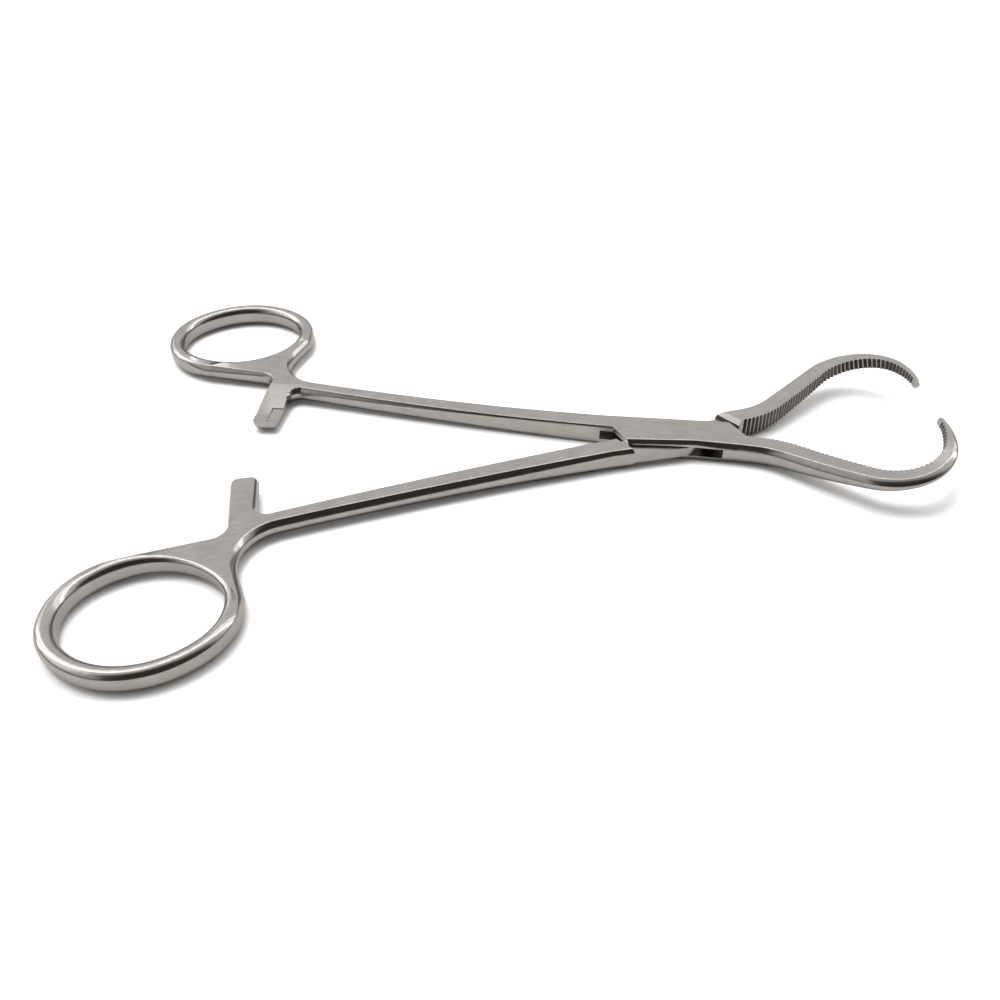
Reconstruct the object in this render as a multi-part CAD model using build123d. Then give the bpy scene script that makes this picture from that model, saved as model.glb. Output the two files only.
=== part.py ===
from build123d import *
import math
import os

# Bone holding forceps with ring handles and a box lock.
# Three pieces: the box half, the tongue half that passes through it, and the pin.
# Origin: the pin's axis on the underside of the lock. +X runs to the jaws, +Z is up.
# The two halves are drawn half open, mirror images of each other about the X axis.

# Lock
LOCK_THICKNESS = 5.4
SLOT_HEIGHT = 2.4
TONGUE_PLAY = 0.05
SHOULDER_GAP = 0.35
CLOSING_ANGLE = 13.2
LOCK_EDGE_RADIUS = 0.5
LONG_SIDE_SLOPE = 0.3
LOCK_HALF_WIDTH = 4.45
LOCK_FLARE = 0.148
CROSSING_X = 2.3
JAW_ROOT = (8.0, -5.35)

# Ends of the box plate: handle side and jaw side
PLATE_HANDLE_INNER = (-15.2, 2.0)
PLATE_HANDLE_OUTER = (-12.4, -3.2)
PLATE_JAW_OUTER_X = 10.6
PLATE_JAW_INNER = (13.8, -2.6)

# Slot in the box: how far it runs each way, and its inner walls
SLOT_HANDLE_END = -18.2
SLOT_HANDLE_WALL = 4.4
SLOT_HANDLE_WALL_END = -4.0
SLOT_JAW_WALL = (7.5, -5.4)
SLOT_JAW_END = (16.8, -2.9)

# Tongue: its corners in the bars that it joins, on the half whose jaw lies at +Y
TONGUE_HANDLE_OUTER_X = -13.0
TONGUE_EDGE_SET_BACK = 0.2
TONGUE_HANDLE_INNER = (-15.6, -2.2)
TONGUE_JAW_OUTER = (10.6, 5.6)
TONGUE_JAW_INNER = (14.0, 2.4)

# Pin, riveted into countersinks in both faces of the box
PIN_RADIUS = 1.75
PIN_HEAD_RADIUS = 2.4
PIN_HEAD_HEIGHT = 0.65
PIN_RUNNING_CLEARANCE = 0.05

# Shanks: a gentle bow between the lock and the neck, and a fall in height over the first part
SHANK_LOCK_END = (-12.0, 3.8)
SHANK_LENGTH = 78.4
SHANK_ANGLE = 14.32
SHANK_BOW = 0.75
SHANK_WIDTH_LOCK = 4.9
SHANK_WIDTH_RING = 4.3
SHANK_FALL_SHARE = 0.75
SHANK_EDGE_RADIUS = 1.0
SHANK_STATIONS = 5

# Finger rings: a rounded bar on a four-centred oval, placed from the shank's end
RING_OFFSET = (-19.0, 22.9)
RING_HALF_LENGTH = 16.5
RING_HALF_WIDTH = 13.7
RING_BAR_WIDTH = 3.5
RING_BAR_HEIGHT = 5.0
RING_BAR_ROUND = 1.7

# Neck that joins ring, shank and ratchet arm, with its hollow curves
NECK_HEIGHT = 3.8
NECK_LAP = 6.5
NECK_CREST = (-7.4, 4.5)
NECK_ARM_CORNER = (-6.6, 7.7)
NECK_SHANK_CURVE = 9.0
NECK_RING_CURVE = 6.5
NECK_ARM_CURVE = 2.2
NECK_RING_ANGLES = (-95.0, -12.0)

# Ratchet arms lie on a circle about the pin, one above the other
ARM_SET_BACK = 5.0
ARM_WIDTH = 4.8
ARM_REACH = 8.7
ARM_RELIEF_STOP = 0.6
ARM_OUTER_ROUND = 1.9
ARM_INNER_ROUND = 1.3
ARM_CLEARANCE = 0.1

# Ratchet teeth: saw notches in the arms' facing sides, along their inner edge
TOOTH_COUNT = 4
TOOTH_PITCH = 1.25
TOOTH_DEPTH = 0.7
TOOTH_LENGTH = 2.6
TOOTH_START = 1.1

# Jaws: lead out of the lock, flare, straight run, bowl and hooked tip
JAW_START = (6.0, 1.25)
JAW_LEAD_ANGLE = 11.3
JAW_LEAD = 10.0
JAW_FLARE_ANGLE = 38.5
JAW_FLARE_RADIUS = 20.0
JAW_RUN = 16.2
JAW_BOWL_RADIUS = 10.9
JAW_HOOK_RADIUS = 9.0
JAW_TIP_ANGLE = -74.0
JAW_TIP_RUN = 7.15
JAW_WIDTH_LOCK = 4.9
JAW_WIDTH_TIP = 1.2
JAW_WIDTH_POWER = 2.8
JAW_HEIGHT_TIP = 1.5
JAW_HEIGHT_POWER = 0.9
JAW_ROUND_LOCK = 0.12
JAW_ROUND_TIP = 0.6
JAW_RISE = 8.5
JAW_RISE_POWER = 2.15
JAW_RISE_START = 8.0
JAW_STATIONS = 18

# Serrations: V grooves straight across the gripping face
GROOVE_PITCH = 1.0
GROOVE_DEPTH = 0.34
GROOVE_WIDTH = 0.8
GROOVE_FIRST = 9.4

# How far a cutter runs past what it cuts, along an edge and right across the lock
CUT_PAST = 1.0
CUT_ACROSS = 3 * LOCK_HALF_WIDTH

MID = LOCK_THICKNESS / 2
TONGUE_HEIGHT = SLOT_HEIGHT - 2 * TONGUE_PLAY
SHANK_RING_END = (
    SHANK_LOCK_END[0] - SHANK_LENGTH * math.cos(math.radians(SHANK_ANGLE)),
    SHANK_LOCK_END[1] + SHANK_LENGTH * math.sin(math.radians(SHANK_ANGLE)),
)
RING_CENTRE = (SHANK_RING_END[0] + RING_OFFSET[0], SHANK_RING_END[1] + RING_OFFSET[1])
ARM_RADIUS = math.hypot(*SHANK_RING_END) + ARM_SET_BACK
ARM_ROOT_ANGLE = math.degrees(math.atan2(SHANK_RING_END[1], -SHANK_RING_END[0]))
ARM_TIP_ANGLE = ARM_ROOT_ANGLE - ARM_REACH


def turned(point, degrees):
    """A plan point turned about the pin's axis."""
    angle = math.radians(degrees)
    x, y = point
    return (x * math.cos(angle) - y * math.sin(angle), x * math.sin(angle) + y * math.cos(angle))


def polar(radius, degrees):
    """A plan point on the handle side, measured from the pin back towards the rings."""
    angle = math.radians(degrees)
    return (-radius * math.cos(angle), radius * math.sin(angle))


def lock_side(x):
    """How far the lock's long side lies from the X axis, at a distance along it."""
    return LOCK_HALF_WIDTH - LOCK_FLARE * (x - CROSSING_X)


def prism(points, bottom, top):
    """A plan outline raised between two heights."""
    outline = make_face(Polyline(*points, close=True))
    return Pos(0, 0, bottom) * extrude(outline, top - bottom)


def station_plane(x, y, z, heading, climb=0.0):
    """A section plane square to a path: local X across, local Y up."""
    along = Vector(math.cos(heading), math.sin(heading), climb).normalized()
    across = Vector(-math.sin(heading), math.cos(heading), 0)
    return Plane(origin=(x, y, z), x_dir=across, z_dir=along)


def shank():
    """The tapering bar from the lock to the ring, flat above and below, with rounded edges."""
    (x0, y0), (x1, y1) = SHANK_LOCK_END, SHANK_RING_END
    sections = []
    for station in range(SHANK_STATIONS):
        t = station / (SHANK_STATIONS - 1)
        x = x0 + (x1 - x0) * t
        y = y0 + (y1 - y0) * t - SHANK_BOW * 4 * t * (1 - t)
        slope = (y1 - y0) - SHANK_BOW * 4 * (1 - 2 * t)
        width = SHANK_WIDTH_LOCK + (SHANK_WIDTH_RING - SHANK_WIDTH_LOCK) * t
        fall = 1 - (1 - min(t / SHANK_FALL_SHARE, 1)) ** 2
        height = LOCK_THICKNESS + (NECK_HEIGHT - LOCK_THICKNESS) * fall
        corner = LOCK_EDGE_RADIUS + (SHANK_EDGE_RADIUS - LOCK_EDGE_RADIUS) * fall
        plane = station_plane(x, y, MID, math.atan2(slope, x1 - x0))
        sections.append(plane * RectangleRounded(width, height, corner))
    return loft(sections)


def ring():
    """The finger ring: four quarter turns of a rounded bar, each about its own centre."""
    offset = (RING_HALF_LENGTH - RING_HALF_WIDTH) / (2 - math.sqrt(2))
    bar = RectangleRounded(RING_BAR_WIDTH, RING_BAR_HEIGHT, RING_BAR_ROUND)
    quarters = Part()
    for quarter in range(4):
        tight = quarter % 2 == 0
        radius = RING_HALF_LENGTH - offset if tight else RING_HALF_WIDTH + offset
        aim = math.radians(90 * quarter)
        shift = offset if tight else -offset
        centre = Vector(*RING_CENTRE, MID) + Vector(math.cos(aim), math.sin(aim)) * shift
        start = aim - math.pi / 4
        outward = Vector(math.cos(start), math.sin(start))
        plane = Plane(centre + outward * radius, x_dir=outward, z_dir=(-outward.Y, outward.X, 0))
        quarters += revolve(plane * bar, Axis(centre, (0, 0, 1)), 90)
    return quarters


def ring_rim(degrees):
    """A plan point on the ring's outer edge."""
    angle = math.radians(degrees)
    x, y = RING_CENTRE
    half_length = RING_HALF_LENGTH + RING_BAR_WIDTH / 2
    half_width = RING_HALF_WIDTH + RING_BAR_WIDTH / 2
    return (x + half_length * math.cos(angle), y + half_width * math.sin(angle))


def neck():
    """The flat plateau where ring, shank and ratchet arm meet, with the arm at its full height."""
    end_x, end_y = SHANK_RING_END
    half = SHANK_WIDTH_RING / 2
    outer, inner = ARM_RADIUS + ARM_WIDTH / 2, ARM_RADIUS - ARM_WIDTH / 2
    back = math.radians(SHANK_ANGLE)
    along, across = Vector(math.cos(back), -math.sin(back)), Vector(math.sin(back), math.cos(back))
    lap = Vector(end_x, end_y) + along * NECK_LAP
    near, far = lap - across * half, lap + across * half
    arm_meets_shank = Vector(*polar(inner, ARM_ROOT_ANGLE)) - across * half
    corners = {
        (end_x + NECK_ARM_CORNER[0], end_y + NECK_ARM_CORNER[1]): NECK_RING_CURVE,
        polar(outer, ARM_TIP_ANGLE): ARM_OUTER_ROUND,
        polar(inner, ARM_TIP_ANGLE): ARM_INNER_ROUND,
        (arm_meets_shank.X, arm_meets_shank.Y): NECK_ARM_CURVE,
        (near.X, near.Y): 0,
        (far.X, far.Y): 0,
        (end_x + NECK_CREST[0], end_y + NECK_CREST[1]): NECK_SHANK_CURVE,
    }
    inner_ends = [ring_rim(angle) for angle in NECK_RING_ANGLES]
    outline = make_face(Polyline(inner_ends[0], *corners, inner_ends[1], RING_CENTRE, close=True))
    for point, radius in corners.items():
        if radius:
            outline = fillet(outline.vertices().sort_by_distance((*point, 0))[0], radius)
    plate = Pos(0, 0, MID - NECK_HEIGHT / 2) * extrude(outline, NECK_HEIGHT)
    rims = []
    for edge in plate.edges():
        middle = edge.center()
        level = abs(middle.Z - MID) > NECK_HEIGHT / 4
        reach = math.hypot(middle.X - RING_CENTRE[0], middle.Y - RING_CENTRE[1])
        at_lap = (Vector(middle.X, middle.Y) - lap).length < half / 2
        if level and reach > RING_HALF_WIDTH and not at_lap:
            rims.append(edge)
    plate = fillet(rims, SHANK_EDGE_RADIUS)
    hole = Ellipse(RING_HALF_LENGTH, RING_HALF_WIDTH)
    return plate - Pos(*RING_CENTRE, 0) * extrude(hole, LOCK_THICKNESS)


def arm_relief(bottom, top):
    """What is milled off an arm so that the other one passes over or under it."""
    outer, inner = ARM_RADIUS + ARM_WIDTH, ARM_RADIUS - ARM_WIDTH
    first, last = ARM_TIP_ANGLE - math.degrees(CUT_PAST / ARM_RADIUS), ARM_ROOT_ANGLE - ARM_RELIEF_STOP
    corners = [polar(outer, last), polar(outer, first), polar(inner, first), polar(inner, last)]
    return prism(corners, bottom, top)


def arm_teeth(side):
    """The saw notches in an arm's facing side: side is 1 where they open upwards, -1 where down."""
    face = MID - side * ARM_CLEARANCE / 2
    notch = [(0, side), (0, -side * TOOTH_DEPTH), (TOOTH_PITCH, 0), (TOOTH_PITCH, side)]
    step = math.degrees(TOOTH_PITCH / ARM_RADIUS)
    cutters = []
    for tooth in range(TOOTH_COUNT):
        angle = ARM_TIP_ANGLE + math.degrees(TOOTH_START / ARM_RADIUS) + tooth * step
        x, y = polar(ARM_RADIUS - ARM_WIDTH / 2 + TOOTH_LENGTH, angle)
        aim = math.radians(angle)
        inward, towards_root = (math.cos(aim), -math.sin(aim), 0), (math.sin(aim), math.cos(aim), 0)
        plane = Plane((x, y, face), x_dir=towards_root, z_dir=inward)
        outline = make_face(Polyline(*notch, close=True))
        cutters.append(extrude(plane * outline, TOOTH_LENGTH + CUT_PAST))
    return cutters


def jaw_path():
    """The plan line of the jaw's gripping face, from inside the lock to the tip."""
    heading = math.radians(JAW_LEAD_ANGLE)
    lead_end = (JAW_START[0] + JAW_LEAD * math.cos(heading), JAW_START[1] + JAW_LEAD * math.sin(heading))
    lead = Line(JAW_START, lead_end)
    flare = JernArc(lead @ 1, lead % 1, JAW_FLARE_RADIUS, JAW_FLARE_ANGLE - JAW_LEAD_ANGLE)
    run = Line(flare @ 1, flare @ 1 + (flare % 1) * JAW_RUN)
    bowl = JernArc(run @ 1, run % 1, JAW_BOWL_RADIUS, -JAW_FLARE_ANGLE)
    hook = JernArc(bowl @ 1, bowl % 1, JAW_HOOK_RADIUS, JAW_TIP_ANGLE)
    tip = Line(hook @ 1, hook @ 1 + (hook % 1) * JAW_TIP_RUN)
    return Wire([lead, flare, run, bowl, hook, tip])


def jaw_rise(x, tip_x):
    """How far the jaw's middle has swept up, and its slope, at a distance along the X axis."""
    run = tip_x - JAW_RISE_START
    t = max(0.0, (x - JAW_RISE_START) / run)
    return JAW_RISE * t**JAW_RISE_POWER, JAW_RISE_POWER * JAW_RISE * t ** (JAW_RISE_POWER - 1) / run


def jaw_plane(path, t):
    """The section plane at a share of the jaw's length: local X runs out from the gripping face."""
    place, way = path @ t, path % t
    rise, slope = jaw_rise(place.X, (path @ 1).X)
    return station_plane(place.X, place.Y, MID + rise, math.atan2(way.Y, way.X), slope * way.X)


def jaw_section(t):
    """The jaw's section: flat gripping face, narrow flat back edges and a rounded outer side."""
    width = JAW_WIDTH_LOCK + (JAW_WIDTH_TIP - JAW_WIDTH_LOCK) * t**JAW_WIDTH_POWER
    half = (LOCK_THICKNESS + (JAW_HEIGHT_TIP - LOCK_THICKNESS) * t**JAW_HEIGHT_POWER) / 2
    bulge = width * (JAW_ROUND_LOCK + (JAW_ROUND_TIP - JAW_ROUND_LOCK) * t)
    flat = width - bulge
    top = Line((0, half), (flat, half))
    side = EllipticalCenterArc((flat, 0), bulge, half, -90, arc_size=180)
    bottom = Line((flat, -half), (0, -half))
    face = Line((0, -half), (0, half))
    return make_face([top, side, bottom, face])


def jaw_grooves(path):
    """The V grooves of the serration, each straight across the gripping face."""
    half = GROOVE_WIDTH / 2
    lead = GROOVE_DEPTH / 2
    flare = half * (1 + lead / GROOVE_DEPTH)
    vee = make_face(Polyline((-lead, -flare), (GROOVE_DEPTH, 0), (-lead, flare), close=True))
    grooves = []
    for groove in range(int((path.length - GROOVE_FIRST) / GROOVE_PITCH)):
        plane = jaw_plane(path, (GROOVE_FIRST + groove * GROOVE_PITCH) / path.length)
        upright = Plane(plane.origin, x_dir=plane.x_dir, z_dir=plane.y_dir)
        grooves.append(extrude(upright * vee, LOCK_THICKNESS, both=True))
    return grooves


def jaw():
    """A jaw: sections set along the gripping face, swept up and tapering to the tip."""
    path = jaw_path()
    shares = [station / (JAW_STATIONS - 1) for station in range(JAW_STATIONS)]
    blank = loft([jaw_plane(path, t) * jaw_section(t) for t in shares])
    return blank - jaw_grooves(path)


def lock_block():
    """The lock's body, before it is slotted: the full-width bar between shank and jaw."""
    corners = [
        (PLATE_HANDLE_INNER[0], lock_side(PLATE_HANDLE_INNER[0])),
        (PLATE_JAW_OUTER_X, lock_side(PLATE_JAW_OUTER_X)),
        PLATE_JAW_INNER,
        JAW_ROOT,
        (CROSSING_X, -LOCK_HALF_WIDTH),
        PLATE_HANDLE_OUTER,
        PLATE_HANDLE_INNER,
    ]
    block = prism(corners, 0, LOCK_THICKNESS)
    rims = [edge for edge in block.edges() if abs(edge.center().Z - MID) > MID / 2]
    long_sides = [edge for edge in rims if abs((edge % 0.5).Y) < LONG_SIDE_SLOPE]
    return fillet(long_sides, LOCK_EDGE_RADIUS)


def pivot_pin():
    """The pin: a rivet whose ends fill countersinks and are ground flush."""
    half_profile = [
        (0, 0),
        (PIN_HEAD_RADIUS, 0),
        (PIN_RADIUS, PIN_HEAD_HEIGHT),
        (PIN_RADIUS, LOCK_THICKNESS - PIN_HEAD_HEIGHT),
        (PIN_HEAD_RADIUS, LOCK_THICKNESS),
        (0, LOCK_THICKNESS),
    ]
    return revolve(Plane.XZ * make_face(Polyline(*half_profile, close=True)), Axis.Z)


def slot():
    """The slot right through the box, wide enough for the tongue to swing."""
    corners = [
        (SLOT_HANDLE_END, -CUT_ACROSS),
        (SLOT_JAW_WALL[0], -CUT_ACROSS),
        SLOT_JAW_WALL,
        SLOT_JAW_END,
        (SLOT_JAW_END[0], CUT_ACROSS),
        (SLOT_HANDLE_WALL_END, CUT_ACROSS),
        (SLOT_HANDLE_WALL_END, SLOT_HANDLE_WALL),
        (SLOT_HANDLE_END, SLOT_HANDLE_WALL),
    ]
    return prism(corners, MID - SLOT_HEIGHT / 2, MID + SLOT_HEIGHT / 2)


def shoulder(inner, outer):
    """A tongue shoulder: the box plate's end, turned from closed to rest, less the gap."""
    a, b = Vector(*turned(inner, CLOSING_ANGLE)), Vector(*turned(outer, CLOSING_ANGLE))
    way = (b - a).normalized()
    gap = Vector(way.Y, -way.X) * SHOULDER_GAP
    reach = way * CUT_ACROSS
    return [a + gap - reach, b + gap + reach]


def tongue():
    """The flat tongue between the shoulders, run a little way into the bars it joins."""
    corners = [
        (TONGUE_HANDLE_OUTER_X, TONGUE_EDGE_SET_BACK - lock_side(TONGUE_HANDLE_OUTER_X)),
        (CROSSING_X, -LOCK_HALF_WIDTH),
        TONGUE_JAW_INNER,
        TONGUE_JAW_OUTER,
        (CROSSING_X, LOCK_HALF_WIDTH),
        TONGUE_HANDLE_INNER,
    ]
    return prism(corners, MID - TONGUE_HEIGHT / 2, MID + TONGUE_HEIGHT / 2)


def forging(arm_side):
    """One half before the lock is cut: handle, lock body and the jaw across the axis."""
    cut = MID - arm_side * ARM_CLEARANCE / 2
    relief = arm_relief(*sorted((cut, cut + arm_side * NECK_HEIGHT)))
    handle = ring() + (neck() - [relief, *arm_teeth(arm_side)]) + shank()
    return handle + lock_block() + mirror(jaw(), Plane.XZ)


def box_half():
    """The half whose slotted box carries the pin and holds the other half's tongue."""
    return forging(1) - slot() - pivot_pin()


def tongue_half():
    """The half whose flat tongue passes through the box and turns on the pin."""
    blank = mirror(forging(-1), Plane.XZ)
    shoulders = shoulder(PLATE_HANDLE_INNER, PLATE_HANDLE_OUTER)
    shoulders += shoulder(PLATE_JAW_INNER, (PLATE_JAW_OUTER_X, lock_side(PLATE_JAW_OUTER_X)))
    relieved = blank - prism(shoulders, -CUT_PAST, LOCK_THICKNESS + CUT_PAST)
    bore = Cylinder(PIN_RADIUS + PIN_RUNNING_CLEARANCE, 2 * LOCK_THICKNESS)
    return relieved + tongue() - bore


PIECES = {
    "box_half": box_half,
    "tongue_half": tongue_half,
    "pivot_pin": pivot_pin,
}

os.makedirs("parts", exist_ok=True)
for name, piece in PIECES.items():
    export_step(piece(), f"parts/{name}.step")
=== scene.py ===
"""Bone holding forceps: the looks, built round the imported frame.

Lengths are in millimetres until a mesh is written, which is in metres as the frame is.
"""

import logging
import math
from dataclasses import astuple, dataclass, replace
from enum import Enum

import bmesh
import bpy
from bmesh.types import BMesh, BMVert
from bpy.types import ID, Material, Mesh, Node, NodeSocket, NodeTree, Object
from mathutils import Matrix, Vector
from mathutils.geometry import delaunay_2d_cdt

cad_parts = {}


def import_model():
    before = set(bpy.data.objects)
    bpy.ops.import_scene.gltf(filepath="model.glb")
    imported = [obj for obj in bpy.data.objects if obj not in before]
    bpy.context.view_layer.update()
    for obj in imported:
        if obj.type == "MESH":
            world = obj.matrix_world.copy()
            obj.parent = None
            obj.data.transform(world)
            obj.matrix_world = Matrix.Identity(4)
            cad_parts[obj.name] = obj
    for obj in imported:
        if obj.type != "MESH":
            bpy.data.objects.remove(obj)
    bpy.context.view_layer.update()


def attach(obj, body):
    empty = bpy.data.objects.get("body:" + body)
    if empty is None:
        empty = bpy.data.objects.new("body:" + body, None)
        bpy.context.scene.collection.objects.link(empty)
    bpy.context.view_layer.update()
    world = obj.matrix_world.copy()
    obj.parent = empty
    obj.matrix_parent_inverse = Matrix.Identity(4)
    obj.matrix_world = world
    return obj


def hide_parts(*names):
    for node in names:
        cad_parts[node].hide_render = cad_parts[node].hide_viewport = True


LOG = logging.getLogger("forceps")

Pair = tuple[float, float]
Triple = tuple[float, float, float]
Colour = tuple[float, float, float, float]

# The attribute that carries a notch's rotation.
TURN_NAME = "turn"

# Sizes are in millimetres and bearings in degrees. MM turns a size into metres.
MM = 0.001
LOCK_THICKNESS = 5.4
NECK_HEIGHT = 3.8
LOCK_HALF = LOCK_THICKNESS / 2
NECK_HALF = NECK_HEIGHT / 2

# How finely the curves are stepped.
ROUND_STEPS = 7
BOW_STEPS = 6
TURNED_STEPS = 64
CORNER_STEPS = 14
SHANK_STEPS = 40
RING_STEP = 2.0
JAW_STEP = 0.6

# Degrees over which the ring's rims fade into the neck's, outside and in the hole, the hole's round
# at the neck, and the share of the shank over which the lock's rim fades.
RING_BLEND = 40.0
HOLE_BLEND = 60.0
HOLE_NECK_ROUND = 0.9
SHANK_RIM_FROM = 0.35

# The jaw's outer side starts beyond the lock, and its root is slimmed over a run of its own.
JAW_OUTER_FROM = 6.0
JAW_ROOT_FROM = 4.0
JAW_ROOT_RUN = 16.0

# How round the jaw's outer side grows towards the tip, as shares of its width and height.
JAW_BOW_GROWTH = 0.8
JAW_BOW_MOST = 0.38
JAW_BOW_HEIGHT = 0.92
JAW_EDGE_MOST = 0.3

# A crisp edge keeps a tiny round. A cutter runs past what it cuts: by millimetres, by degrees along
# the arm, and by a little above a groove.
CRISP_EDGE = 0.06
CUT_PAST = 1.0
PAST_DEGREES = 1.0
GROOVE_LEAD = 0.08

# What counts as one point, in space and in plan, one smooth line, a sharp edge and an upright face.
WELD = 0.0005
PLAN_WELD = 1e-6
SMOOTH_TURN = 0.08
CREASE_DEGREES = 32.0
UPRIGHT_FACE = 0.1

# A side's levels end at this share of half its height, and a cap keeps what its lines enclose.
LOWEST_SHARE = 0.98
ENCLOSED = 1

# The colour sockets of a Mix node, which share their names with its other kinds.
COLOUR_A, COLOUR_B, COLOUR_OUT = 6, 7, 2
WHITE = (1.0, 1.0, 1.0, 1.0)


def linear(colour: str) -> Colour:
    """Turns an sRGB colour into the linear one that a shader takes.

    Args:
        colour: Six hex digits after a hash.

    Returns:
        Linear red, green and blue, and an alpha of 1.
    """
    # The sRGB curve, straight near black and a power above.
    channels = [int(colour[i : i + 2], 16) / 255 for i in (1, 3, 5)]
    bent = [c / 12.92 if c <= 0.04045 else ((c + 0.055) / 1.055) ** 2.4 for c in channels]
    return (bent[0], bent[1], bent[2], 1.0)


def add_node(tree: NodeTree, kind: str, links: dict | None = None, **settings) -> Node:
    """Adds one node, with its settings and what feeds it.

    Args:
        tree: The node tree that it goes in.
        kind: The node's type name.
        links: Input name or number to the value it holds or the output socket that feeds it.
        settings: The node's own properties.

    Returns:
        The new node.
    """
    node = tree.nodes.new(kind)
    for name, value in settings.items():
        setattr(node, name, value)
    for key, value in (links or {}).items():
        socket = node.inputs[key]
        if isinstance(value, NodeSocket):
            tree.links.new(value, socket)
        else:
            socket.default_value = value
    return node


def add_ramp(
    tree: NodeTree,
    value: NodeSocket,
    span: Pair,
    levels: Pair,
    kind: str = "SMOOTHSTEP",
) -> NodeSocket:
    """Adds a ramp from one level to another over a span of a value.

    Args:
        tree: The node tree that it goes in.
        value: What the ramp follows.
        span: Where the ramp starts and ends.
        levels: What it gives at the start and at the end.
        kind: SMOOTHSTEP for an eased ramp, LINEAR for a straight one.

    Returns:
        The ramp's level.
    """
    ends = {"From Min": span[0], "From Max": span[1], "To Min": levels[0], "To Max": levels[1]}
    return add_node(tree, "ShaderNodeMapRange", {"Value": value, **ends}, interpolation_type=kind).outputs[0]


def add_math(tree: NodeTree, operation: str, *values: float | NodeSocket) -> NodeSocket:
    """Adds one sum of numbers and gives its result."""
    return add_node(tree, "ShaderNodeMath", dict(enumerate(values)), operation=operation).outputs[0]


def add_choice(
    tree: NodeTree,
    ray: str,
    other: Colour | NodeSocket,
    seen: Colour,
) -> NodeSocket:
    """Adds a colour that one kind of ray sees differently.

    Args:
        tree: The node tree that it goes in.
        ray: The light path's output that names the kind of ray.
        other: The colour for every other ray.
        seen: The colour for this kind of ray.

    Returns:
        The colour.
    """
    path = add_node(tree, "ShaderNodeLightPath")
    links = {"Factor": path.outputs[ray], COLOUR_A: other, COLOUR_B: seen}
    return add_node(tree, "ShaderNodeMix", links, data_type="RGBA").outputs[COLOUR_OUT]


def placed(name: str, data: ID) -> Object:
    """Makes an object of some data and puts it in the scene.

    Args:
        name: The object's name.
        data: Its mesh, camera or lamp.

    Returns:
        The object.
    """
    made = bpy.data.objects.new(name, data)
    bpy.context.scene.collection.objects.link(made)
    return made


def eased(share: float) -> float:
    """Turns a straight ramp from 0 to 1 into one with soft ends."""
    return share * share * (3 - 2 * share)


@dataclass(frozen=True)
class PhotoCamera:
    """The camera that took the photograph, fitted to it, in millimetres and radians."""

    place: Triple = (-41.4, -147.28, 122.37)
    yaw: float = 0.0464
    pitch: float = 0.7513
    roll: float = -0.001
    focal_pixels: float = 843.1
    centre_pixels: Pair = (528.16, 502.76)
    image_pixels: float = 1000.0
    sensor: float = 36.0
    nearest: float = 10.0

    def build(self) -> None:
        """Makes the camera and gives it to the scene."""
        ahead = Vector(
            (
                math.sin(self.yaw) * math.cos(self.pitch),
                math.cos(self.yaw) * math.cos(self.pitch),
                -math.sin(self.pitch),
            )
        )
        right = Vector((math.cos(self.yaw), -math.sin(self.yaw), 0.0))
        above = right.cross(ahead)
        turn = Matrix.Rotation(-self.roll, 3, ahead)
        right, above = turn @ right, turn @ above
        data = bpy.data.cameras.new("photo_camera")
        data.sensor_width = self.sensor
        data.lens = self.focal_pixels / self.image_pixels * self.sensor
        data.shift_x = 0.5 - self.centre_pixels[0] / self.image_pixels
        data.shift_y = self.centre_pixels[1] / self.image_pixels - 0.5
        data.clip_start = self.nearest * MM
        camera = placed("photo_camera", data)
        axes = Matrix((right, above, -ahead)).transposed().to_4x4()
        camera.matrix_world = Matrix.Translation(Vector(self.place) * MM) @ axes
        bpy.context.scene.camera = camera


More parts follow.
